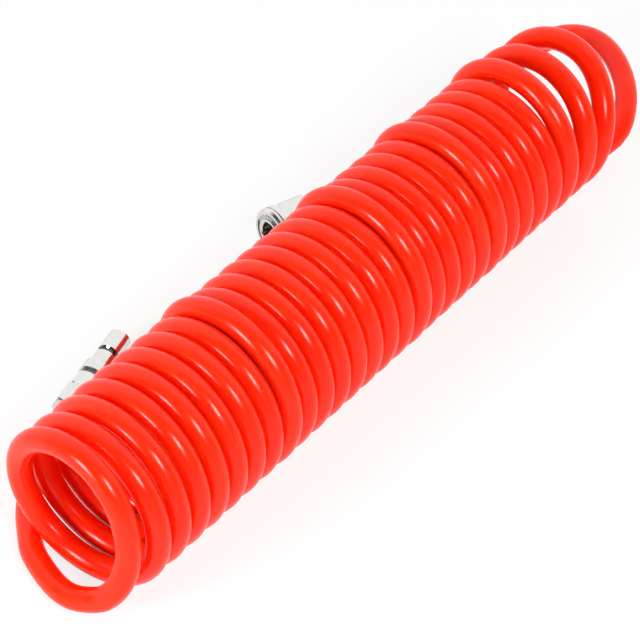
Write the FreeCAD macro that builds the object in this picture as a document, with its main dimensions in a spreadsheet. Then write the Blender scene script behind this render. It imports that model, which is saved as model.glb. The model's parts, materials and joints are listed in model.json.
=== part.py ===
import FreeCAD, Part
import math
import os
import re

# Coiled polyurethane air hose with a plug at one end and a quick coupling socket at the other.
# Millimetres, +Z up. The origin is on the floor, under the middle turn of the coil, and the
# coil's axis lies along X. Each fitting is modelled along its own axis, from its free end
# towards the hose, and is then laid down where it rests beside the coil.

NO_TURN = FreeCAD.Rotation()
UP = FreeCAD.Vector(0, 0, 1)

SIZES = {
    # The hose and its coil
    "hose_diameter": 12.0,
    "hose_bore": 8.0,
    "coil_radius": 38.45,
    "coil_radius_loss": 0.073,
    "turn_gap": 0.5,
    "near_slack": 9.6,
    "near_slack_turns": 4.5,
    "fan_start_turn": 26.1,
    "fan_tilt": 10.8,
    "fan_onset_turns": 0.6,
    "raised_turn_extra": 2.0,
    "flat_depth": 0.5,
    "floor_gap": 0.3,
    # Where the fittings lie
    "plug_tip_x": -64.2,
    "plug_tip_y": 86.0,
    "plug_yaw": 14.2,
    "socket_mouth_x": 35.3,
    "socket_mouth_y": 71.9,
    "socket_yaw": -13.5,
    "socket_pitch": 5.0,
    "straight_at_nut": 20.0,
    "straight_at_coil": 16.0,
    # The plug
    "nose_diameter": 12.0,
    "nose_edge": 0.9,
    "nose_length": 12.9,
    "groove_diameter": 9.8,
    "groove_width": 3.3,
    "groove_slope": 0.8,
    "guide_length": 7.6,
    "collar_diameter": 15.0,
    "collar_length": 7.7,
    "collar_edge": 0.5,
    "neck_diameter": 13.2,
    "neck_length": 2.5,
    "plug_flats": 14.0,
    "plug_hex_length": 9.8,
    "plug_bore": 7.5,
    "plug_bore_depth": 34.0,
    "hex_edge": 1.1,
    # The hose joint, the same at both fittings
    "stub_diameter": 13.6,
    "stub_length": 7.0,
    "nipple_diameter": 8.0,
    "nipple_ridge": 0.35,
    "nipple_length": 11.4,
    "nipple_bore": 5.5,
    "hose_end_gap": 0.3,
    "hose_bore_past_nipple": 2.0,
    "nut_flats": 16.0,
    "nut_length": 13.0,
    "nut_wall": 1.8,
    "nut_start_gap": 0.3,
    "nut_hose_gap": 0.25,
    "thread_gap": 0.1,
    "clamp_ring_length": 3.2,
    "clamp_ring_gap": 0.15,
    "clamp_ring_split": 1.5,
    # The socket's body
    "nose_clearance": 0.05,
    "mouth_edge": 0.6,
    "mouth_land_end": 7.2,
    "bore_relief": 0.25,
    "tube_diameter": 15.6,
    "tube_length": 18.9,
    "barrel_diameter": 16.8,
    "bore_length": 23.5,
    "flange_start": 24.0,
    "flange_clearance": 0.3,
    "body_flats": 19.0,
    "body_hex_start": 29.4,
    "body_length": 36.0,
    "chamber_diameter": 16.0,
    "body_thread_length": 5.0,
    "body_thread_diameter": 16.4,
    "ball_diameter": 3.5,
    "ball_clearance": 0.05,
    "ball_groove_gap": 0.1,
    "seal_groove_start": 19.4,
    "seal_groove_width": 2.0,
    "seal_groove_diameter": 15.0,
    "seal_thickness": 1.4,
    # The socket's rear adaptor
    "thread_end_gap": 0.2,
    "adaptor_neck_length": 1.4,
    "adaptor_neck_diameter": 14.4,
    "adaptor_hex_gap": 0.3,
    "adaptor_hex_length": 8.0,
    "adaptor_bore": 12.4,
    "spring_seat_depth": 1.2,
    "body_seal_thickness": 0.9,
    # The sleeve
    "sleeve_diameter": 25.0,
    "sleeve_start": 0.8,
    "sleeve_end": 25.0,
    "sleeve_travel": 4.0,
    "sleeve_edge": 0.7,
    "lip_diameter": 26.0,
    "lip_length": 2.3,
    "lip_edge": 1.2,
    "lip_groove_diameter": 24.8,
    "lip_groove_width": 1.0,
    "bead_length": 2.9,
    "waist_diameter": 24.2,
    "waist_length": 1.0,
    "waist_slope": 2.4,
    "lip_recess_diameter": 20.6,
    "lip_recess_end": 2.4,
    "lip_flange_end": 3.6,
    "lip_flange_bore": 17.8,
    "land_end": 14.5,
    "land_clearance": 0.1,
    "stop_ring_start": 1.2,
    "stop_ring_width": 1.1,
    "stop_ring_diameter": 18.8,
    "stop_ring_depth": 0.5,
    "stop_ring_split": 3.0,
    "sleeve_spring_wire": 1.2,
    "spring_side_gap": 0.55,
    "spring_end_gap": 0.1,
    # The valve
    "poppet_clearance": 0.2,
    "poppet_start": 19.8,
    "poppet_bore": 8.4,
    "poppet_window": 2.6,
    "valve_seal_thickness": 0.6,
    "valve_head_diameter": 14.4,
    "valve_seal_gap": 0.2,
    "valve_head_length": 1.9,
    "valve_boss_diameter": 8.6,
    "valve_boss_length": 1.8,
    "valve_spring_wire": 1.0,
    "valve_spring_diameter": 10.8,
}

# Sizes that follow from the ones above
DERIVED = {
    "valve_head_start": "bore_length + valve_seal_gap + valve_seal_thickness",
    "chamber_end": "body_length - body_thread_length",
    "adaptor_start": "chamber_end + thread_end_gap",
    "adaptor_neck_start": "body_length - adaptor_neck_length",
    "adaptor_hex_start": "body_length + adaptor_hex_gap",
    "spring_seat": "body_length + spring_seat_depth",
    "sleeve_bore": "barrel_diameter + 2 * sleeve_spring_wire + 4 * spring_side_gap",
    "sleeve_spring_diameter": "barrel_diameter + sleeve_spring_wire + 2 * spring_side_gap",
    "flange_diameter": "sleeve_bore - 2 * flange_clearance",
    "waist_end": "sleeve_start + lip_length + lip_groove_width + bead_length + waist_length"
                 " + 2 * waist_slope",
}

# Counts, and the turns that stand a little proud of their neighbours
COIL_TURNS = 29
MIDDLE_TURN = 15
RAISED_TURNS = (9, 17, 22, 27)
SLACK_REACH = 25
BALL_COUNT = 6
NIPPLE_RIDGES = 3
POPPET_WINDOWS = 4
SLEEVE_SPRING_TURNS = 4
VALVE_SPRING_TURNS = 5

# The hose's hand-laid points, as X, Y and height over the line on which it lies on the floor.
# The first list runs to the coil's first turn and is measured from that turn's lowest point,
# the second runs on from the last turn and is measured from the last turn's lowest point.
COIL_ENTRY = ((8.4, 33.6, 0.0), (0.2, 24.7, 0.0), (-9.6, -3.0, -0.5))
COIL_EXIT = ((26.0, -22.5, 6.5), (56.0, -14.0, 17.5), (76.0, 6.0, 23.3), (84.0, 28.0, 21.5),
             (79.5, 49.5, 13.0), (63.0, 59.0, 2.5), (48.0, 60.0, 0.0), (36.0, 60.0, 0.0))
# Points of the two leads between the coil and the fittings
PLUG_LEAD = ((-160.5, 57.0, 0.4),)
SOCKET_LEAD = ((165.3, 57.2, 0.0), (141.3, 53.4, 0.5))


doc = FreeCAD.newDocument("coiled_air_hose")
sheet = doc.addObject("Spreadsheet::Sheet", "Sizes")
formulas = {alias: "=" + formula for alias, formula in DERIVED.items()}
for row, (alias, content) in enumerate({**SIZES, **formulas}.items(), 1):
    sheet.set("A%d" % row, alias)
    sheet.set("B%d" % row, str(content))
    sheet.setAlias("B%d" % row, alias)
doc.recompute()


def size(alias):
    """The number that the sheet holds under this alias."""
    return float(sheet.get(alias))


def bind(piece, prop, formula):
    """Tie one property to a formula in the sheet's aliases."""
    text = re.sub(r"[a-z][a-z_]*", lambda word: named(word.group()), formula)
    piece.setExpression(prop, text)


def named(word):
    return "Sizes." + word if word in SIZES or word in DERIVED else word


def add(kind, name):
    piece = doc.addObject(kind, name)
    piece.Label = name
    return piece


# Pieces that are turned on a lathe: each is a stack of cylinders and cones along Z

def cylinder(name, radius, start, length):
    piece = add("Part::Cylinder", name)
    bind(piece, "Radius", radius)
    bind(piece, "Height", length)
    bind(piece, "Placement.Base.z", start)
    return piece


def cone(name, radius_1, radius_2, start, length):
    piece = add("Part::Cone", name)
    bind(piece, "Radius1", radius_1)
    bind(piece, "Radius2", radius_2)
    bind(piece, "Height", length)
    bind(piece, "Placement.Base.z", start)
    return piece


def fuse(name, pieces):
    piece = add("Part::MultiFuse", name)
    piece.Shapes = pieces
    piece.Refine = True
    return piece


def cut(name, base, tool):
    piece = add("Part::Cut", name)
    piece.Base = base
    piece.Tool = tool
    piece.Refine = True
    return piece


def stack(name, start, steps):
    """Steps of radius, or of two radii for a cone, and length, one behind the other."""
    pieces = []
    for number, step in enumerate(steps):
        step_name = "%s_step_%d" % (name, number)
        length = step[-1]
        if len(step) == 2:
            pieces.append(cylinder(step_name, step[0], start, length))
        else:
            pieces.append(cone(step_name, step[0], step[1], start, length))
        start = start + " + " + length
    return fuse(name, pieces) if len(pieces) > 1 else pieces[0]


def hexagon(name, flats, start, length):
    """A hexagon whose corners are turned back at both ends."""
    bar = add("Part::Prism", name + "_bar")
    bar.Polygon = 6
    bind(bar, "Circumradius", flats + " / 2 / cos(30 deg)")
    bind(bar, "Height", length)
    bind(bar, "Placement.Base.z", start)
    corner = flats + " / 2 / cos(30 deg)"
    turned = stack(name + "_turned", start, [
        (flats + " / 2", corner, "hex_edge"),
        (corner, length + " - 2 * hex_edge"),
        (corner, flats + " / 2", "hex_edge")])
    piece = add("Part::Common", name)
    piece.Base = bar
    piece.Tool = turned
    return piece


def split_ring(name, inner, outer, start, length, split):
    """A ring with a gap in it."""
    body = cylinder(name + "_outer", outer, start, length)
    hole = cylinder(name + "_inner", inner, start, length)
    gap = add("Part::Box", name + "_gap")
    bind(gap, "Length", outer)
    bind(gap, "Width", split)
    bind(gap, "Height", length)
    bind(gap, "Placement.Base.y", "0 - " + split + " / 2")
    bind(gap, "Placement.Base.z", start)
    return cut(name, body, fuse(name + "_void", [hole, gap]))


# The hose: every line is straight runs and arcs that leave one another without a corner

def unit(vector):
    return FreeCAD.Vector(vector) / vector.Length


def arc_from(start, corner, end):
    """The arc from start to end whose end tangents meet in corner, equally far from both."""
    middle = (start + end) / 2
    rise = (corner - middle).Length
    half = (end - start).Length / 2
    if rise < 1e-7 * half:
        return Part.LineSegment(start, end).toShape()
    sagitta = half * math.tan(math.atan2(rise, half) / 2)
    crown = middle + unit(corner - middle) * sagitta
    return Part.Arc(start, crown, end).toShape()


def biarc(start, leaving, end, arriving):
    """Two arcs between two points whose directions are given."""
    span = end - start
    both = leaving + arriving
    square = 2 * (1 - leaving.dot(arriving))
    across = span.dot(both)
    if square < 1e-9:
        reach = span.dot(span) / (2 * across)
    else:
        root = math.sqrt(across ** 2 + square * span.dot(span))
        reach = (root - across) / square
    corner_1 = start + leaving * reach
    corner_2 = end - arriving * reach
    joint = (corner_1 + corner_2) / 2
    return [arc_from(start, corner_1, joint), arc_from(joint, corner_2, end)]


def heading(before, here, after):
    """The direction in which the circle through three points passes the middle one."""
    back, ahead = here - before, after - here
    return unit(back * (ahead.Length / back.Length) + ahead * (back.Length / ahead.Length))


def headings_between(knots):
    """A heading for every knot but the first and the last."""
    return [heading(*three) for three in zip(knots, knots[1:], knots[2:])]


def curve_edges(knots, headings):
    """Biarcs through the knots, one pair between each two."""
    edges = []
    for number in range(len(knots) - 1):
        edges += biarc(knots[number], headings[number], knots[number + 1], headings[number + 1])
    return edges


def swept(edges, radius):
    """A round solid along a line of edges."""
    path = Part.Wire(edges)
    start = edges[0].valueAt(edges[0].FirstParameter)
    along = edges[0].tangentAt(edges[0].FirstParameter)
    ring = Part.Wire([Part.Circle(start, along, radius).toShape()])
    return path.makePipeShell([ring], True, False)


def rounded_route(name, points):
    """Straight runs joined by arcs as large as the runs beside them allow."""
    edges = []
    here = points[0]
    radii = []
    for before, corner, after in zip(points, points[1:], points[2:]):
        back, ahead = unit(before - corner), unit(after - corner)
        half_turn = (math.pi - back.getAngle(ahead)) / 2
        shorter = min((before - corner).Length, (after - corner).Length)
        reach = 0.45 * shorter
        radii.append(reach / math.tan(half_turn))
        edges.append(Part.LineSegment(here, corner + back * reach).toShape())
        edges.append(arc_from(corner + back * reach, corner, corner + ahead * reach))
        here = corner + ahead * reach
    edges.append(Part.LineSegment(here, points[-1]).toShape())
    print(name, "radii", [round(radius, 1) for radius in radii])
    return edges


def turn_point(turns):
    """The hose's centre after so many turns of the coil, counted from the first bottom."""
    pitch = size("hose_diameter") + turn_gap_along()
    slack = size("near_slack") * (1 - math.exp(-turns / size("near_slack_turns")))
    middle = MIDDLE_TURN * pitch + size("near_slack") * (
        1 - math.exp(-MIDDLE_TURN / size("near_slack_turns")))
    radius = size("coil_radius") - size("coil_radius_loss") * min(turns, SLACK_REACH)
    whole = math.floor(turns)
    if whole + 1 in RAISED_TURNS:
        radius += size("raised_turn_extra") * math.sin(math.pi * (turns - whole)) ** 2
    beyond = max(turns - size("fan_start_turn"), 0.0)
    tilt = math.radians(size("fan_tilt") * beyond ** 2 / (size("fan_onset_turns") + beyond))
    angle = 2 * math.pi * turns
    rise = radius * (1 - math.cos(angle))
    floor_line = size("hose_diameter") / 2 - size("flat_depth")
    return FreeCAD.Vector(turns * pitch + slack - middle + rise * math.sin(tilt),
                          -radius * math.sin(angle),
                          floor_line + rise * math.cos(tilt))


def turn_gap_along():
    """The turns lean by their own pitch, so their gap along the axis is slightly wider."""
    around = 2 * math.pi * size("coil_radius")
    pitch = size("hose_diameter") + size("turn_gap")
    return pitch / math.cos(math.atan2(pitch, around)) - size("hose_diameter")


def laid(points, origin):
    """Hand-laid points, moved to an origin and up to the line on which the hose lies."""
    line = size("hose_diameter") / 2
    return [FreeCAD.Vector(origin.x + x, origin.y + y, line + z) for x, y, z in points]


def turn_heading(turns):
    step = 0.01
    return unit(turn_point(turns + step) - turn_point(turns - step))


def coil_knots():
    """The coil's points and headings: four to a turn, and the hand-laid ones at its ends."""
    quarters = [number / 4 for number in range(1, 4 * COIL_TURNS + 1)]
    turns = [turn_point(quarter) for quarter in quarters]
    entry = laid(COIL_ENTRY, turn_point(0))
    leave = laid(COIL_EXIT, turn_point(COIL_TURNS))
    headings = [unit(entry[1] - entry[0])] + headings_between(entry[1:] + turns[:1])
    headings += [turn_heading(quarter) for quarter in quarters]
    headings += headings_between(turns[-1:] + leave[:-1]) + [unit(leave[-1] - leave[-2])]
    return entry + turns + leave, headings


def least_gap(edges, radius, name):
    """The least gap between stretches of a wound tube, measured on points along its line."""
    points, places = [], []
    place = 0.0
    for edge in edges:
        count = max(2, int(edge.Length / 1.5))
        span = edge.LastParameter - edge.FirstParameter
        for number in range(count):
            points.append(edge.valueAt(edge.FirstParameter + span * number / count))
            places.append(place + edge.Length * number / count)
        place += edge.Length
    least, where = 1e9, None
    for number, point in enumerate(points):
        for other in range(number + 1, len(points)):
            if places[other] - places[number] > 6 * radius:
                apart = points[other] - point
                if abs(apart.x) < least and apart.Length < least:
                    least, where = apart.Length, point + apart / 2
    print(name, "least gap to itself", round(least - 2 * radius, 2), "mm at",
          [round(value, 1) for value in where])


def hose_coil():
    """The wound hose, cut flat where it lies on the floor."""
    radius = size("hose_diameter") / 2
    knots, headings = coil_knots()
    straight_in = Part.LineSegment(knots[0], knots[1]).toShape()
    straight_out = Part.LineSegment(knots[-2], knots[-1]).toShape()
    edges = [straight_in] + curve_edges(knots[1:-1], headings) + [straight_out]
    least_gap(edges, radius, "hose_coil")
    length = sum(edge.Length for edge in edges)
    tube = swept(edges, radius)
    report_tube("hose_coil", tube, length, radius)
    start = (knots[0], unit(knots[0] - knots[1]))
    end = (knots[-1], unit(knots[-1] - knots[-2]))
    return on_floor(tube), start, end, length


def report_tube(name, tube, length, radius):
    share = tube.Volume / (math.pi * radius ** 2 * length)
    print(name, "length", round(length, 1), "volume share", round(share, 4))


def on_floor(tube):
    """Take away what lies under the floor."""
    box = tube.BoundBox
    deep = 2 * size("hose_diameter")
    block = Part.makeBox(box.XLength + 2 * deep, box.YLength + 2 * deep, deep,
                         FreeCAD.Vector(box.XMin - deep, box.YMin - deep, -deep))
    return tube.cut(block).Solids[0]


def fixed(name, shape):
    """A piece whose shape is worked out here from the sheet's sizes."""
    piece = add("Part::Feature", name)
    piece.Shape = shape
    piece.Placement = FreeCAD.Placement(FreeCAD.Vector(0, 0, 0), NO_TURN)
    return piece


def wound_spring(name, start, end, mean_diameter, wire, turns):
    """A compression spring along Z between two stations."""
    radius = wire / 2
    rise = (end - start - wire) / turns
    knots = []
    for number in range(4 * turns + 1):
        angle = math.pi / 2 * number
        knots.append(FreeCAD.Vector(mean_diameter / 2 * math.cos(angle),
                                    mean_diameter / 2 * math.sin(angle),
                                    start + radius + rise * number / 4))
    slope = rise / 4 / (mean_diameter * math.pi / 4)
    first = unit(FreeCAD.Vector(0, 1, slope))
    last = FreeCAD.Rotation(UP, 360 * turns).multVec(first)
    edges = curve_edges(knots, [first] + headings_between(knots) + [last])
    tube = swept(edges, radius)
    report_tube(name, tube, sum(edge.Length for edge in edges), radius)
    return fixed(name, tube)


# The plug, from its tip to the hose

PLUG_GROOVE = "nose_length"
PLUG_COLLAR = "nose_length + groove_width + guide_length"
PLUG_HEX = PLUG_COLLAR + " + collar_length + neck_length"
PLUG_STUB = PLUG_HEX + " + plug_hex_length"


def nipple_steps():
    """Saw-tooth ridges that hold the hose, with a short root in front of them."""
    root = "nipple_length / 4"
    ridge = "nipple_length / 4"
    steps = [("nipple_diameter / 2", root)]
    for _ in range(NIPPLE_RIDGES):
        steps.append(("nipple_diameter / 2 + nipple_ridge", "nipple_diameter / 2", ridge))
    return steps


def plug_body():
    nose = "nose_diameter / 2"
    groove = "groove_diameter / 2"
    collar = "collar_diameter / 2"
    front = stack("plug_front", "0", [
        (nose + " - nose_edge", nose, "nose_edge"),
        (nose, "nose_length - nose_edge"),
        (nose, groove, "groove_slope"),
        (groove, "groove_width - 2 * groove_slope"),
        (groove, nose, "groove_slope"),
        (nose, "guide_length"),
        (collar + " - collar_edge", collar, "collar_edge"),
        (collar, "collar_length - 2 * collar_edge"),
        (collar, collar + " - collar_edge", "collar_edge"),
        ("neck_diameter / 2", "neck_length")])
    hexagon_part = hexagon("plug_hexagon", "plug_flats", PLUG_HEX, "plug_hex_length")
    rear = stack("plug_rear", PLUG_STUB, [("stub_diameter / 2", "stub_length")] + nipple_steps())
    solid = fuse("plug_solid", [front, hexagon_part, rear])
    air = fuse("plug_air_way", [
        cylinder("plug_nose_bore", "plug_bore / 2", "0", "plug_bore_depth"),
        cylinder("plug_nipple_bore", "nipple_bore / 2", "0",
                 PLUG_STUB + " + stub_length + nipple_length")])
    return cut("plug_body", solid, air)


def hose_joint(prefix, stub_start):
    """The nut and the clamp ring that hold the hose on its nipple."""
    nut_start = stub_start + " + nut_start_gap"
    nut_end = nut_start + " + nut_length"
    outside = hexagon(prefix + "_nut_hexagon", "nut_flats", nut_start, "nut_length")
    inside = fuse(prefix + "_nut_inside", [
        cylinder(prefix + "_nut_thread", "stub_diameter / 2 + thread_gap", nut_start,
                 "nut_length - nut_wall"),
        cylinder(prefix + "_nut_hole", "hose_diameter / 2 + nut_hose_gap", nut_start,
                 "nut_length")])
    nut = cut(prefix + "_union_nut", outside, inside)
    ring_start = nut_end + " - nut_wall - nut_start_gap - clamp_ring_length"
    ring = split_ring(prefix + "_clamp_ring", "hose_diameter / 2 + clamp_ring_gap",
                      "stub_diameter / 2", ring_start, "clamp_ring_length", "clamp_ring_split")
    return [nut, ring]


# The socket, from its mouth to the hose

BALL_STATION = "guide_length + groove_width / 2"
BALL_REST = "groove_diameter / 2 + ball_groove_gap + ball_diameter / 2"
BALL_TRAVEL = "nose_diameter / 2 + nose_clearance + ball_clearance - groove_diameter / 2" \
              " - ball_groove_gap"
SOCKET_BORE = "nose_diameter / 2 + nose_clearance"
SOCKET_STUB = "adaptor_hex_start + adaptor_hex_length"


def ball_hole(number):
    """The hole through the body's tube in which one ball rides in and out."""
    hole = add("Part::Cylinder", "ball_hole_%d" % number)
    bind(hole, "Radius", "ball_diameter / 2 + ball_clearance")
    bind(hole, "Height", "tube_diameter")
    angle = 360 / BALL_COUNT * number
    turn = FreeCAD.Rotation(UP, angle) * FreeCAD.Rotation(FreeCAD.Vector(0, 1, 0), 90)
    hole.Placement = FreeCAD.Placement(FreeCAD.Vector(0, 0, 0), turn)
    bind(hole, "Placement.Base.z", BALL_STATION)
    return hole


def locking_ball(number):
    ball = add("Part::Sphere", "ball_%d" % number)
    bind(ball, "Radius", "ball_diameter / 2")
    angle = math.radians(360 / BALL_COUNT * number)
    reach = "(" + BALL_REST + ")"
    bind(ball, "Placement.Base.x", "%s * %.9f" % (reach, math.cos(angle)))
    bind(ball, "Placement.Base.y", "%s * %.9f" % (reach, math.sin(angle)))
    bind(ball, "Placement.Base.z", BALL_STATION)
    return fuse_one("locking_ball_%d" % (number + 1), ball)


def fuse_one(name, piece):
    """The same solid as a piece of its own, so that it can be laid down as a whole."""
    holder = add("Part::Compound", name)
    holder.Links = [piece]
    return holder


def socket_body():
    tube = "tube_diameter / 2"
    outside = fuse("socket_outside", [
        stack("socket_turned", "0", [
            (tube, "stop_ring_start"),
            (tube + " - stop_ring_depth", "stop_ring_width"),
            (tube, "tube_length - stop_ring_start - stop_ring_width"),
            ("barrel_diameter / 2", "flange_start - tube_length"),
            ("flange_diameter / 2", "body_hex_start - flange_start")]),
        hexagon("socket_hexagon", "body_flats", "body_hex_start", "body_length - body_hex_start")])
    holes = [ball_hole(number) for number in range(BALL_COUNT)]
    inside = fuse("socket_inside", holes + [
        stack("socket_bored", "0", [
            (SOCKET_BORE + " + mouth_edge", SOCKET_BORE, "mouth_edge"),
            (SOCKET_BORE, "mouth_land_end - mouth_edge"),
            (SOCKET_BORE + " + bore_relief", "seal_groove_start - mouth_land_end"),
            ("seal_groove_diameter / 2", "seal_groove_width"),
            (SOCKET_BORE + " + bore_relief",
             "bore_length - seal_groove_start - seal_groove_width"),
            ("chamber_diameter / 2", "chamber_end - bore_length"),
            ("body_thread_diameter / 2", "body_length - chamber_end")])])
    return cut("socket_body", outside, inside)


def socket_adaptor():
    thread = "body_thread_diameter / 2 - thread_gap"
    outside = fuse("adaptor_outside", [
        stack("adaptor_front", "adaptor_start", [
            (thread, "adaptor_neck_start - adaptor_start"),
            ("adaptor_neck_diameter / 2", "adaptor_hex_start - adaptor_neck_start")]),
        hexagon("adaptor_hexagon", "body_flats", "adaptor_hex_start", "adaptor_hex_length"),
        stack("adaptor_rear", SOCKET_STUB,
              [("stub_diameter / 2", "stub_length")] + nipple_steps())])
    inside = fuse("adaptor_inside", [
        cylinder("adaptor_spring_bore", "adaptor_bore / 2", "adaptor_start",
                 "spring_seat - adaptor_start"),
        cylinder("adaptor_air_bore", "nipple_bore / 2", "adaptor_start",
                 SOCKET_STUB + " + stub_length + nipple_length - adaptor_start")])
    return cut("socket_adaptor", outside, inside)


def locking_sleeve():
    """Its inner cone holds the balls in, and lets them out as the sleeve goes back."""
    outer = "sleeve_diameter / 2"
    lip = "lip_diameter / 2"
    waist = "waist_diameter / 2"
    outside = stack("sleeve_outside", "sleeve_start", [
        (lip + " - lip_edge", lip, "lip_edge"),
        (lip, "lip_length - lip_edge"),
        ("lip_groove_diameter / 2", "lip_groove_width"),
        (lip, "bead_length"),
        (lip, waist, "waist_slope"),
        (waist, "waist_length"),
        (waist, outer, "waist_slope"),
        (outer, "sleeve_end - sleeve_edge - waist_end"),
        (outer, outer + " - sleeve_edge", "sleeve_edge")])
    slope = "(" + BALL_TRAVEL + ") / sleeve_travel"
    lean = "sqrt(1 + (" + slope + ") * (" + slope + "))"
    over_ball = BALL_REST + " + (ball_diameter / 2 + ball_clearance) * " + lean
    land = "tube_diameter / 2 + land_clearance"
    cone_end = "(" + BALL_STATION + ") + (" + over_ball + " - (" + land + ")) / (" + slope + ")"
    cone_mouth = over_ball + " + (" + slope + ") * (" + BALL_STATION + " - lip_flange_end)"
    inside = stack("sleeve_inside", "sleeve_start", [
        ("lip_recess_diameter / 2", "lip_recess_end - sleeve_start"),
        ("lip_flange_bore / 2", "lip_flange_end - lip_recess_end"),
        (cone_mouth, land, cone_end + " - lip_flange_end"),
        (land, "land_end - (" + cone_end + ")"),
        ("sleeve_bore / 2", "sleeve_end - land_end")])
    return cut("locking_sleeve", outside, inside)


def ring_seal(name, mean_radius, thickness, station):
    seal = add("Part::Torus", name + "_ring")
    bind(seal, "Radius1", mean_radius)
    bind(seal, "Radius2", thickness + " / 2")
    bind(seal, "Placement.Base.z", station)
    return fuse_one(name, seal)


def valve_poppet():
    guide = SOCKET_BORE + " - poppet_clearance"
    outside = stack("poppet_outside", "poppet_start", [
        (guide, "valve_head_start - poppet_start"),
        ("valve_head_diameter / 2", "valve_head_length"),
        ("valve_boss_diameter / 2", "valve_boss_length")])
    bore_length = "bore_length - poppet_start"
    voids = [cylinder("poppet_inside", "poppet_bore / 2", "poppet_start", bore_length)]
    for number in range(POPPET_WINDOWS // 2):
        window = add("Part::Box", "poppet_window_%d" % number)
        bind(window, "Length", "nose_diameter")
        bind(window, "Width", "poppet_window")
        bind(window, "Height", "poppet_window")
        across = FreeCAD.Rotation(UP, 90 * number)
        corner = across.multVec(FreeCAD.Vector(-0.5, 0, 0))
        side = across.multVec(FreeCAD.Vector(0, -0.5, 0))
        window.Placement = FreeCAD.Placement(FreeCAD.Vector(0, 0, 0), across)
        for letter in "xy":
            bind(window, "Placement.Base." + letter, "%.1f * nose_diameter + %.1f * poppet_window"
                 % (getattr(corner, letter), getattr(side, letter)))
        bind(window, "Placement.Base.z", "bore_length - poppet_window")
        voids.append(window)
    return cut("valve_poppet", outside, fuse("poppet_voids", voids))


def socket_pieces():
    seal_middle = "seal_groove_start + seal_groove_width / 2"
    stop_ring = split_ring("sleeve_stop_ring", "tube_diameter / 2 - stop_ring_depth",
                           "stop_ring_diameter / 2", "stop_ring_start", "stop_ring_width",
                           "stop_ring_split")
    valve_seal = cut("valve_seal",
                     cylinder("valve_seal_outer", "valve_head_diameter / 2",
                              "valve_head_start - valve_seal_thickness", "valve_seal_thickness"),
                     cylinder("valve_seal_inner", SOCKET_BORE + " - poppet_clearance / 2",
                              "valve_head_start - valve_seal_thickness", "valve_seal_thickness"))
    gap = size("spring_end_gap")
    sleeve_spring = wound_spring("sleeve_spring", size("land_end") + gap,
                                 size("flange_start") - gap, size("sleeve_spring_diameter"),
                                 size("sleeve_spring_wire"), SLEEVE_SPRING_TURNS)
    head_end = size("valve_head_start") + size("valve_head_length")
    valve_spring = wound_spring("valve_spring", head_end + gap, size("spring_seat") - gap,
                                size("valve_spring_diameter"), size("valve_spring_wire"),
                                VALVE_SPRING_TURNS)
    seals = [
        ring_seal("plug_seal_ring", "seal_groove_diameter / 2 - seal_thickness / 2",
                  "seal_thickness", seal_middle),
        ring_seal("socket_body_seal", "adaptor_neck_diameter / 2 + body_seal_thickness / 2",
                  "body_seal_thickness", "body_length - body_seal_thickness")]
    balls = [locking_ball(number) for number in range(BALL_COUNT)]
    return [socket_body(), socket_adaptor(), locking_sleeve(), stop_ring, sleeve_spring,
            valve_poppet(), valve_seal, valve_spring] + seals + balls


def lay_down(pieces, place):
    """Give each piece of a fitting the fitting's place beside the coil."""
    for piece in pieces:
        piece.Placement = place.multiply(piece.Placement)


def plug_place():
    """The plug lies on a flat of its nut, its nose level."""
    yaw = math.radians(size("plug_yaw"))
    back = FreeCAD.Vector(-math.cos(yaw), -math.sin(yaw), 0)
    height = size("nut_flats") / 2 + size("floor_gap")
    tip = FreeCAD.Vector(size("plug_tip_x"), size("plug_tip_y"), height)
    return axis_place(tip, back)


def socket_place():
    """The socket lies on the rear edge of its sleeve, tipped down towards the hose."""
    yaw, pitch = math.radians(size("socket_yaw")), math.radians(size("socket_pitch"))
    back = FreeCAD.Vector(math.cos(pitch) * math.cos(yaw), math.cos(pitch) * math.sin(yaw),
                          -math.sin(pitch))
    height = (size("sleeve_diameter") / 2 * math.cos(pitch) + size("floor_gap")
              + size("sleeve_end") * math.sin(pitch))
    mouth = FreeCAD.Vector(size("socket_mouth_x"), size("socket_mouth_y"), height)
    return axis_place(mouth, back)


def axis_place(origin, back):
    """Local +Z goes to back and local X lies level, so that a hexagon rests on a flat."""
    level = unit(UP.cross(back))
    turn = FreeCAD.Rotation(level, back.cross(level), back, "ZXY")
    return FreeCAD.Placement(origin, turn)


def lead(name, points, bore_depth):
    """A free stretch of hose, bored at its far end where it sits on the fitting's nipple."""
    radius = size("hose_diameter") / 2
    edges = rounded_route(name, points)
    length = sum(edge.Length for edge in edges)
    tube = swept(edges, radius)
    report_tube(name, tube, length, radius)
    end, inward = points[-1], unit(points[-2] - points[-1])
    bore = Part.makeCylinder(size("hose_bore") / 2, bore_depth, end, inward)
    return fixed(name, tube.cut(bore)), length


def coil_end_run(end):
    """A lead's first two points: the coil's end, and one straight on from it."""
    point, outward = end
    return [point, point + outward * size("straight_at_coil")]


def fitting_ends(place, stub_start):
    """The hose's last two points: clear of the nut, and against the fitting's stub."""
    hose_end = stub_start + size("stub_length") + size("hose_end_gap")
    nut_end = stub_start + size("nut_start_gap") + size("nut_length")
    return [place.multVec(UP * (nut_end + size("straight_at_nut"))), place.multVec(UP * hose_end)]


def stub_station(names):
    return sum(size(name) for name in names)


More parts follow.
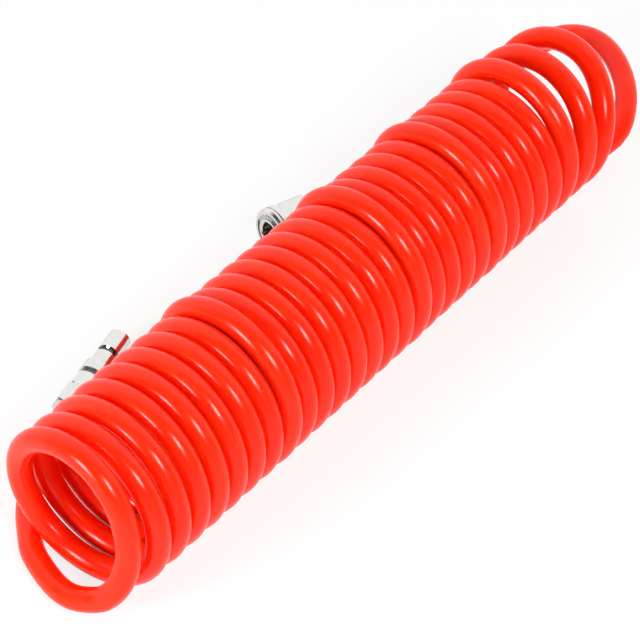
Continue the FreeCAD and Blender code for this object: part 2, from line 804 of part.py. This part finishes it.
def build():
    """Make every piece, and lay the two fittings down."""
    coil_shape, coil_start, coil_end, coil_length = hose_coil()
    plug_at, socket_at = plug_place(), socket_place()
    plug_stub = stub_station(("nose_length", "groove_width", "guide_length", "collar_length",
                              "neck_length", "plug_hex_length"))
    socket_stub = stub_station(("adaptor_hex_start", "adaptor_hex_length"))
    bore_depth = size("nipple_length") + size("hose_bore_past_nipple")
    floor = FreeCAD.Vector(0, 0, 0)
    plug_points = (coil_end_run(coil_start) + laid(PLUG_LEAD, floor)
                   + fitting_ends(plug_at, plug_stub))
    socket_points = (coil_end_run(coil_end) + laid(SOCKET_LEAD, floor)
                     + fitting_ends(socket_at, socket_stub))
    plug_lead, plug_length = lead("hose_lead_plug_end", plug_points, bore_depth)
    socket_lead, socket_length = lead("hose_lead_socket_end", socket_points, bore_depth)
    print("hose length", round(coil_length + plug_length + socket_length, 0), "mm")
    plug = [plug_body()] + hose_joint("plug", PLUG_STUB)
    socket = socket_pieces() + hose_joint("socket", SOCKET_STUB)
    doc.recompute()
    lay_down(plug, plug_at)
    lay_down(socket, socket_at)
    doc.recompute()
    return [fixed("hose_coil", coil_shape), plug_lead, socket_lead] + plug + socket


def check(pieces):
    """Stop before writing if any object failed or any piece has no sound shape."""
    for thing in doc.Objects:
        if "Invalid" in thing.State or "Error" in thing.State:
            raise RuntimeError("%s failed to build" % thing.Label)
    for piece in pieces:
        if piece.Shape.isNull() or not piece.Shape.isValid() or not piece.Shape.Solids:
            raise RuntimeError("%s has no valid solid" % piece.Label)


def write(pieces):
    os.makedirs("parts", exist_ok=True)
    for piece in pieces:
        piece.Shape.exportStep("parts/%s.step" % piece.Label)
        box = piece.Shape.optimalBoundingBox(True, False)
        print("%-22s %9.1f mm3  z %.2f to %.2f" % (piece.Label, piece.Shape.Volume,
                                                   box.ZMin, box.ZMax))


made = build()
check(made)
write(made)
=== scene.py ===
"""Looks of a coiled air hose with its quick plug and quick socket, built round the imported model.

Lengths are in metres, in the part's own frame: the origin is on the floor under the middle turn,
+X runs along the coil to its fanned end, the two fittings lie on its +Y side, and +Z is up.
"""

import json
import math

import bpy
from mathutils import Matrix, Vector


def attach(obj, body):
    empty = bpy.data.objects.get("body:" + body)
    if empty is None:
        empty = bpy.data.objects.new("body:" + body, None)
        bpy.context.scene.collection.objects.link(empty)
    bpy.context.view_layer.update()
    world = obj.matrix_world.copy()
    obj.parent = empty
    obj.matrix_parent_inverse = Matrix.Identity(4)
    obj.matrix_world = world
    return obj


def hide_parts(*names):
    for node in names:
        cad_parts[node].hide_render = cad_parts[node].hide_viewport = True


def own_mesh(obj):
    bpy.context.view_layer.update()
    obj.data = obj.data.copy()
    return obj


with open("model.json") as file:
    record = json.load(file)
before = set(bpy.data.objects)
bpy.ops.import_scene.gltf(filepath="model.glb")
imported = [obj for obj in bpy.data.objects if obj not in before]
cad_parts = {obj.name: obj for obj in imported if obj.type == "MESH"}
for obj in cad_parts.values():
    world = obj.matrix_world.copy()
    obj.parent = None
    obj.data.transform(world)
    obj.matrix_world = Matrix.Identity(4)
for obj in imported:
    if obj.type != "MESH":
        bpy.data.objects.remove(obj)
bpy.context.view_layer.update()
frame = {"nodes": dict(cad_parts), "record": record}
scene = bpy.context.scene

# The hose and its coil, as in the part's source
HOSE_DIAMETER = 0.012
COIL_TURNS = 29
MIDDLE_TURN = 15
COIL_RADIUS = 0.03845
TURN_GAP = 0.0005
FLAT_DEPTH = 0.0005

# The turns lose a little radius each, up to one of them. The near ones lie slack, some stand
# proud, and the last ones fan out, each tilted by so many degrees more than the one before it.
RADIUS_LOSS = 0.000073
LOSS_TURNS = 25
NEAR_SLACK = 0.0096
NEAR_SLACK_TURNS = 4.5
RAISED_TURNS = (9, 17, 22, 27)
RAISED_EXTRA = 0.002
FAN_START_TURN = 26.1
FAN_TILT = 10.8
FAN_ONSET_TURNS = 0.6

# The hose's listed points: X, Y and height over the line on which it lies. The entry is
# measured from the first turn's lowest point, the exit from the last one's, and the leads from
# the origin. The exit's first three are moved a little from the CAD's, to lie as in the photo.
COIL_ENTRY = ((0.0084, 0.0336, 0.0), (0.0002, 0.0247, 0.0), (-0.0096, -0.0030, -0.0005))
COIL_EXIT = ((0.0300, -0.0270, 0.0065), (0.0568, -0.0170, 0.0175), (0.0758, 0.0055, 0.0233),
             (0.0840, 0.0280, 0.0215), (0.0795, 0.0495, 0.0130), (0.0630, 0.0590, 0.0025),
             (0.0480, 0.0600, 0.0), (0.0360, 0.0600, 0.0))
PLUG_LEAD = ((-0.1605, 0.0570, 0.0004),)
SOCKET_LEAD = ((0.1653, 0.0572, 0.0), (0.1413, 0.0534, 0.0005))
STRAIGHT_AT_COIL = 0.016

# Where the photo's hose lies a little beside the plain winding: the middle of the place and half
# its reach, both in turns, and how far it is moved
HAND_MOVES = ((0.25, 0.25, (0.0, 0.005, 0.0)), (0.5, 0.3, (0.0, 0.0, 0.0025)),
              (28.28, 0.2, (-0.0045, 0.0, 0.0)))

# How finely the hose is drawn: control points in a turn, steps from one to the next, and sides
POINTS_PER_TURN = 24
SPLINE_STEPS = 5
HOSE_SIDES = 36

# The points of the first turn at which it takes over from the entry's own points, and at which
# the hose is back on the winding
FIRST_TURN_POINT = 2
ON_WINDING_POINT = POINTS_PER_TURN // 4

# Where the two fittings lie, and how far behind their fronts the hose starts and leaves the nut
PLUG_YAW = math.radians(14.2)
PLUG_TIP = Vector((-0.0642, 0.0860, 0.0083))
PLUG_BACK = Vector((-math.cos(PLUG_YAW), -math.sin(PLUG_YAW), 0.0))
SOCKET_YAW = math.radians(-13.5)
SOCKET_PITCH = math.radians(5)
SOCKET_MOUTH = Vector((0.0353, 0.0719, 0.014931))
SOCKET_BACK = Vector((math.cos(SOCKET_PITCH) * math.cos(SOCKET_YAW),
                      math.cos(SOCKET_PITCH) * math.sin(SOCKET_YAW), -math.sin(SOCKET_PITCH)))
PLUG_HOSE_STATIONS = (0.0511, 0.0771)
SOCKET_HOSE_STATIONS = (0.0516, 0.0776)

# Most values of a noise lie between these
NOISE_SPAN = (0.3, 0.7)

# Metal: how much of its colour is left where it is worn and where a groove has painted shade, the
# span of a noise over which it wears, the least and most of its roughness as shares of what is
# given, where it is plain and where it is turned, and a lathe's rings in a metre
NICKEL = (0.74, 0.725, 0.705)
WORN_SHARE = 0.95
PAINTED_SHADE_SHARE = 0.16
WORN_SPAN = (0.35, 0.65)
PLAIN_ROUGHNESS = (0.7, 1.5)
TURNED_ROUGHNESS = (0.7, 1.6)
LATHE_RINGS = 5200.0
# Where the plug's grooves are painted darker as shade, in metres behind its tip
PLUG_SHADED_GROOVES = ((0.0130, 0.0161), (0.0316, 0.0339))

# The share of the floor that is plain white to the camera and in mirrors, and half its width
FLOOR_PLAIN_SHARE = 0.8
FLOOR_REACH = 6.0

# The camera, with its angles in degrees and its lens in millimetres
CAMERA_AZIMUTH = -51.8
CAMERA_ELEVATION = 43.6
CAMERA_DISTANCE = 1.3915
CAMERA_AIM = Vector((-0.0272, -0.0106, 0.0495))
FOCAL_LENGTH = 163.6
SENSOR_WIDTH = 36.0
NEAREST_SEEN = 0.05

# The room's light, by how far a direction points away from the camera and by how far up: the
# cosines between which it changes, and its level at each
ROOM_BEHIND = {"start": -0.1, "end": 0.4, "at_start": 0.1, "at_end": 1.15}
ROOM_BY_HEIGHT = {"start": 0.0, "end": 0.3, "at_start": 0.6, "at_end": 0.1}

# Each lamp's azimuth and elevation in degrees and its width, and what both have in common
LAMPS = {"left_light": (-101, 22, 0.36), "front_light": (-22, 43, 0.38)}
LAMP_AIM = Vector((0.0, 0.0, 0.045))
LAMP_DISTANCE = 1.5
LAMP_LEVEL = 0.75


def turn_point(turns):
    """The hose's centre after so many turns of the coil, counted from the first bottom."""
    pitch = HOSE_DIAMETER + TURN_GAP
    pitch /= math.cos(math.atan2(pitch, 2 * math.pi * COIL_RADIUS))
    slack = [NEAR_SLACK * (1 - math.exp(-at / NEAR_SLACK_TURNS)) for at in (turns, MIDDLE_TURN)]
    radius = COIL_RADIUS - RADIUS_LOSS * min(turns, LOSS_TURNS)
    whole = math.floor(turns)
    if whole + 1 in RAISED_TURNS:
        radius += RAISED_EXTRA * math.sin(math.pi * (turns - whole)) ** 2
    beyond = max(turns - FAN_START_TURN, 0.0)
    tilt = math.radians(FAN_TILT * beyond ** 2 / (FAN_ONSET_TURNS + beyond))
    # The curve runs inside its control points, so they go round a little further out
    outer = radius / math.cos(math.pi / POINTS_PER_TURN)
    angle = 2 * math.pi * turns
    rise = radius - outer * math.cos(angle)
    return Vector(((turns - MIDDLE_TURN) * pitch + slack[0] - slack[1] + rise * math.sin(tilt),
                   -outer * math.sin(angle),
                   HOSE_DIAMETER / 2 - FLAT_DEPTH + rise * math.cos(tilt)))


def hand_move(turns):
    """How far the hose is moved after so many turns, to lie as in the photo."""
    moved = Vector()
    for middle, reach, move in HAND_MOVES:
        near = max(1 - abs(turns - middle) / reach, 0.0)
        moved += Vector(move) * (1 - math.cos(math.pi * near)) / 2
    return moved


def laid(points, origin=(0.0, 0.0)):
    """Given points, moved to an origin and up to the line on which the hose lies."""
    line = HOSE_DIAMETER / 2
    return [Vector((origin[0] + x, origin[1] + y, line + z)) for x, y, z in points]


def straight_on(end, before):
    """A point straight on from the coil's end, away from the one before it."""
    return end + (end - before).normalized() * STRAIGHT_AT_COIL


def hose_route():
    """The hose's points from the plug through the coil to the socket."""
    plug = [PLUG_TIP + PLUG_BACK * station for station in PLUG_HOSE_STATIONS]
    socket = [SOCKET_MOUTH + SOCKET_BACK * station for station in SOCKET_HOSE_STATIONS]
    entry = laid(COIL_ENTRY, turn_point(0))
    leave = laid(COIL_EXIT, turn_point(COIL_TURNS))
    # The entry ends beside the winding, and the first turn starts from there
    beside = entry[-1] - turn_point(0)
    coil = []
    for number in range(FIRST_TURN_POINT, COIL_TURNS * POINTS_PER_TURN + 1):
        share = max(1 - number / ON_WINDING_POINT, 0.0)
        turns = number / POINTS_PER_TURN
        coil.append(turn_point(turns) + beside * share + hand_move(turns))
    return (plug + laid(PLUG_LEAD) + [straight_on(entry[0], entry[1])] + entry + coil + leave
            + [straight_on(leave[-1], leave[-2])] + laid(SOCKET_LEAD) + socket[::-1])


def smooth_line(name, points):
    """The points of one smooth spline that has the given control points."""
    curve = bpy.data.curves.new(name, "CURVE")
    curve.dimensions = "3D"
    spline = curve.splines.new("NURBS")
    spline.points.add(len(points) - 1)
    for control, place in zip(spline.points, points):
        control.co = (*place, 1.0)
    spline.order_u = 3
    spline.use_endpoint_u = True
    spline.resolution_u = SPLINE_STEPS
    holder = bpy.data.objects.new(name, curve)
    line = bpy.data.meshes.new_from_object(holder)
    found = [vertex.co.copy() for vertex in line.vertices]
    bpy.data.objects.remove(holder)
    bpy.data.meshes.remove(line)
    return found


def new_object(name, vertices, faces):
    """A new object in the scene, with smooth shading."""
    mesh = bpy.data.meshes.new(name)
    mesh.from_pydata(vertices, [], faces)
    mesh.polygons.foreach_set("use_smooth", [True] * len(mesh.polygons))
    mesh.update()
    made = bpy.data.objects.new(name, mesh)
    scene.collection.objects.link(made)
    return made


def tube(name, line, radius):
    """A round tube along a line, flat where it would reach below the floor.

    Its tube_place says where a vertex is along the tube and in its section, for the texture.
    """
    vertices, places, faces = [], [], []
    length = 0.0
    side = Vector((0, 0, 1))
    for number, centre in enumerate(line):
        before = line[max(number - 1, 0)]
        after = line[min(number + 1, len(line) - 1)]
        length += (centre - before).length
        ahead = (after - before).normalized()
        side = (side - ahead * side.dot(ahead)).normalized()
        across = ahead.cross(side)
        for step in range(HOSE_SIDES):
            angle = 2 * math.pi * step / HOSE_SIDES
            place = centre + (side * math.cos(angle) + across * math.sin(angle)) * radius
            place.z = max(place.z, 0.0)
            vertices.append(place)
            places += (length, radius * math.cos(angle), radius * math.sin(angle))
    for ring in range(len(line) - 1):
        for step in range(HOSE_SIDES):
            here = ring * HOSE_SIDES + step
            beside = ring * HOSE_SIDES + (step + 1) % HOSE_SIDES
            faces.append((here, beside, beside + HOSE_SIDES, here + HOSE_SIDES))
    faces.append(tuple(reversed(range(HOSE_SIDES))))
    faces.append(tuple(range(len(vertices) - HOSE_SIDES, len(vertices))))
    made = new_object(name, vertices, faces)
    along = made.data.attributes.new("tube_place", "FLOAT_VECTOR", "POINT")
    along.data.foreach_set("vector", places)
    return made


class Nodes:
    """A node tree in the making. What goes into a node is another one's output or a value."""

    def __init__(self, tree):
        self.tree = tree

    def feed(self, socket, source):
        if isinstance(source, bpy.types.NodeSocket):
            self.tree.links.new(source, socket)
        else:
            socket.default_value = source

    def node(self, kind, sources=None, **settings):
        made = self.tree.nodes.new(kind)
        for setting, value in settings.items():
            setattr(made, setting, value)
        for socket, source in (sources or {}).items():
            self.feed(made.inputs[socket], source)
        return made

    def calculate(self, operation, *values):
        made = self.node("ShaderNodeMath", dict(enumerate(values)), operation=operation)
        return made.outputs["Value"]

    def along(self, place, way):
        """How far a place lies along a way from the origin."""
        made = self.node("ShaderNodeVectorMath", {0: place, 1: way}, operation="DOT_PRODUCT")
        return made.outputs["Value"]

    def change(self, value, start, end, at_start, at_end, form="LINEAR"):
        """A number that changes as a value goes from start to end."""
        sources = {"Value": value, "From Min": start, "From Max": end,
                   "To Min": at_start, "To Max": at_end}
        made = self.node("ShaderNodeMapRange", sources, interpolation_type=form)
        return made.outputs["Result"]


class Shader(Nodes):
    """A material in the making."""

    def __init__(self, name):
        self.material = bpy.data.materials.new(name)
        self.material.use_nodes = True
        super().__init__(self.material.node_tree)
        self.surface = self.tree.nodes["Principled BSDF"]

    def set(self, **sources):
        """Feed the shader's sockets, whose names have _ here for a space."""
        for socket, source in sources.items():
            self.feed(self.surface.inputs[socket.replace("_", " ")], source)

    def place(self):
        return self.node("ShaderNodeTexCoord").outputs["Object"]

    def tube_place(self):
        return self.node("ShaderNodeAttribute", attribute_name="tube_place").outputs["Vector"]

    def station(self, place, front, back):
        """Metres behind a fitting's front, along its axis."""
        made = self.node("ShaderNodeVectorMath", {0: place, 1: front}, operation="SUBTRACT")
        return self.along(made.outputs["Vector"], back)

    def noise(self, place, across, along=None, detail=3.0):
        """Noise with about so many spots in a metre, or another number of them along X."""
        scale = (along or across, across, across)
        spread = self.node("ShaderNodeMapping", {"Vector": place, "Scale": scale})
        sources = {"Vector": spread.outputs["Vector"], "Scale": 1.0, "Detail": detail}
        return self.node("ShaderNodeTexNoise", sources).outputs["Fac"]

    def rings(self, station):
        """The fine rings that a lathe leaves."""
        sources = {"W": station, "Scale": LATHE_RINGS, "Detail": 2.0}
        return self.node("ShaderNodeTexNoise", sources, noise_dimensions="1D").outputs["Fac"]

    def vary(self, noise, low, high):
        return self.change(noise, *NOISE_SPAN, low, high)

    def tint(self, noise, low, high, span=NOISE_SPAN):
        """A colour that goes from low to high over a span of a noise."""
        made = self.node("ShaderNodeValToRGB", {"Fac": noise})
        for stop, position, color in zip(made.color_ramp.elements, span, (low, high)):
            stop.position = position
            stop.color = (*color, 1.0)
        return made.outputs["Color"]

    def mix(self, share, color, other):
        sources = {"Factor": share, "A": color, "B": (*other, 1.0)}
        return self.node("ShaderNodeMix", sources, data_type="RGBA").outputs["Result"]

    def bump(self, noise, height, strength):
        """Relief of so many metres between the lowest and highest of a noise."""
        sources = {"Height": noise, "Distance": height, "Strength": strength}
        return self.node("ShaderNodeBump", sources).outputs["Normal"]


def times(values, share):
    return tuple(share * value for value in values)


def hose_material():
    """Glossy polyurethane, with the faint drawn lines of its extrusion."""
    made = Shader("hose_polyurethane")
    place = made.tube_place()
    cloud = made.noise(place, across=120, along=16, detail=2.0)
    sheen = made.noise(place, across=500, along=60)
    lines = made.noise(place, across=700, along=30, detail=2.0)
    made.set(Base_Color=made.tint(cloud, (0.95, 0.018, 0.001), (0.99, 0.025, 0.002)),
             Roughness=made.vary(sheen, 0.19, 0.26),
             Normal=made.bump(lines, height=0.00002, strength=0.4),
             IOR=1.5, Specular_IOR_Level=0.25, Subsurface_Weight=0.85, Subsurface_Scale=0.012,
             Subsurface_Radius=(1.0, 0.12, 0.05))
    return made.material


def metal_material(name, color, roughness, axis=None, shaded_grooves=()):
    """Plated or bare metal, turned where it has an axis, with painted shade in its grooves.

    The axis is a point at the front and the way back; the shaded grooves are in metres behind it.
    """
    made = Shader(name)
    place = made.place()
    cloud = made.noise(place, 260)
    surface = made.tint(cloud, times(color, WORN_SHARE), color, WORN_SPAN)
    if axis is None:
        spots, grain = made.noise(place, 900), made.noise(place, 2500)
        made.set(Roughness=made.vary(spots, *times(PLAIN_ROUGHNESS, roughness)),
                 Normal=made.bump(grain, height=0.000006, strength=0.5))
    else:
        station = made.station(place, *axis)
        rings = made.rings(station)
        made.set(Roughness=made.vary(rings, *times(TURNED_ROUGHNESS, roughness)),
                 Normal=made.bump(rings, height=0.000008, strength=0.5))
        # Painted shade: the colour is made darker in each groove
        for start, end in shaded_grooves:
            painted_shade = made.calculate("COMPARE", station, (start + end) / 2, (end - start) / 2)
            surface = made.mix(painted_shade, surface, times(color, PAINTED_SHADE_SHARE))
    made.set(Base_Color=surface, Metallic=1.0)
    return made.material


def rubber_material():
    """Matt black rubber."""
    made = Shader("seal_rubber")
    place = made.place()
    cloud, spots, grain = (made.noise(place, number) for number in (400, 1500, 4000))
    made.set(Base_Color=made.tint(cloud, (0.018, 0.018, 0.019), (0.034, 0.033, 0.033)),
             Roughness=made.vary(spots, 0.5, 0.75),
             Normal=made.bump(grain, height=0.00001, strength=0.5))
    return made.material


def floor_material():
    """White, and most of what the camera and mirrors see of it is plain white without shadow."""
    made = Shader("floor_white")
    cloud = made.noise(made.place(), 3)
    made.set(Base_Color=made.tint(cloud, (0.88, 0.88, 0.88), (0.90, 0.90, 0.90)), Roughness=0.85)
    rays = made.node("ShaderNodeLightPath").outputs
    seen = made.calculate("MAXIMUM", rays["Is Camera Ray"], rays["Is Glossy Ray"])
    seen = made.calculate("MAXIMUM", seen, rays["Is Transmission Ray"])
    share = made.calculate("MULTIPLY", seen, FLOOR_PLAIN_SHARE)
    plain = made.node("ShaderNodeEmission").outputs["Emission"]
    both = made.node("ShaderNodeMixShader", {0: share, 1: made.surface.outputs["BSDF"], 2: plain})
    made.feed(made.tree.nodes["Material Output"].inputs["Surface"], both.outputs["Shader"])
    return made.material


def press_spring(node):
    """Give a spring of the socket its own copy of its mesh."""
    coil = frame["nodes"][node]
    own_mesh(coil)


def direction(azimuth, elevation):
    """The unit vector to a place round the part, from -Y towards +X and up from the floor."""
    azimuth, elevation = math.radians(azimuth), math.radians(elevation)
    return Vector((math.sin(azimuth) * math.cos(elevation),
                   -math.cos(azimuth) * math.cos(elevation), math.sin(elevation)))


def set_up(name, data, aim, azimuth, elevation, distance):
    """A lamp or camera round the part, turned to what it is aimed at."""
    made = bpy.data.objects.new(name, data)
    away = direction(azimuth, elevation)
    made.location = aim + away * distance
    made.rotation_mode = "QUATERNION"
    made.rotation_quaternion = away.to_track_quat("Z", "Y")
    scene.collection.objects.link(made)
    return made


def studio():
    """A room that is white behind the part and low down, and dark above the camera."""
    world = bpy.data.worlds.new("studio")
    scene.world = world
    world.use_nodes = True
    made = Nodes(world.node_tree)
    place = made.node("ShaderNodeTexCoord").outputs["Generated"]
    behind = made.along(place, direction(CAMERA_AZIMUTH + 180, 0))
    height = made.along(place, direction(0, 90))
    level = made.calculate("MAXIMUM", made.change(behind, **ROOM_BEHIND, form="SMOOTHSTEP"),
                           made.change(height, **ROOM_BY_HEIGHT, form="SMOOTHSTEP"))
    background = made.tree.nodes["Background"]
    made.feed(background.inputs["Color"], (1, 1, 1, 1))
    made.feed(background.inputs["Strength"], level)


def soft_light(name, azimuth, elevation, width):
    """A square lamp that lights a white surface facing it to LAMP_LEVEL of white."""
    lamp = bpy.data.lights.new(name, "AREA")
    lamp.shape = "SQUARE"
    lamp.size = width
    lamp.energy = LAMP_LEVEL * math.pi ** 2 * LAMP_DISTANCE ** 2
    set_up(name, lamp, LAMP_AIM, azimuth, elevation, LAMP_DISTANCE)


finishes = {
    "hose": hose_material(),
    "plug_metal": metal_material("plug_nickel", NICKEL, 0.11, (PLUG_TIP, PLUG_BACK),
                                 PLUG_SHADED_GROOVES),
    "socket_metal": metal_material("socket_nickel", NICKEL, 0.12, (SOCKET_MOUTH, SOCKET_BACK)),
    "sleeve_metal": metal_material("sleeve_nickel", NICKEL, 0.10, (SOCKET_MOUTH, SOCKET_BACK)),
    "nut_metal": metal_material("nut_nickel", (0.73, 0.715, 0.695), 0.14),
    "clamp_ring": metal_material("ring_brass", (0.72, 0.50, 0.20), 0.22),
    "seal": rubber_material(),
    "spring_steel": metal_material("spring_steel", (0.52, 0.52, 0.53), 0.26),
    "ball_steel": metal_material("ball_steel", (0.74, 0.74, 0.75), 0.07),
    "valve_brass": metal_material("valve_brass", (0.70, 0.49, 0.20), 0.2)}

for part in frame["record"]["subparts"]:
    materials = frame["nodes"][part["node"]].data.materials
    materials.clear()
    materials.append(finishes[part["material_slot"]])

hose_line = smooth_line("hose_line", hose_route())
hose = tube("hose", hose_line, HOSE_DIAMETER / 2)
hose.data.materials.append(finishes["hose"])
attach(hose, "root")
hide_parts("hose_coil", "hose_lead_plug_end", "hose_lead_socket_end")

press_spring("sleeve_spring")
press_spring("valve_spring")

corners = [(x * FLOOR_REACH, y * FLOOR_REACH, 0) for x, y in ((-1, -1), (1, -1), (1, 1), (-1, 1))]
floor = new_object("floor", corners, [(0, 1, 2, 3)])
floor.data.materials.append(floor_material())

scene.view_settings.view_transform = "Standard"
studio()
for lamp_name, settings in LAMPS.items():
    soft_light(lamp_name, *settings)

lens = bpy.data.cameras.new("camera")
lens.sensor_width = SENSOR_WIDTH
lens.lens = FOCAL_LENGTH
lens.clip_start = NEAREST_SEEN
scene.camera = set_up("camera", lens, CAMERA_AIM, CAMERA_AZIMUTH, CAMERA_ELEVATION,
                      CAMERA_DISTANCE)
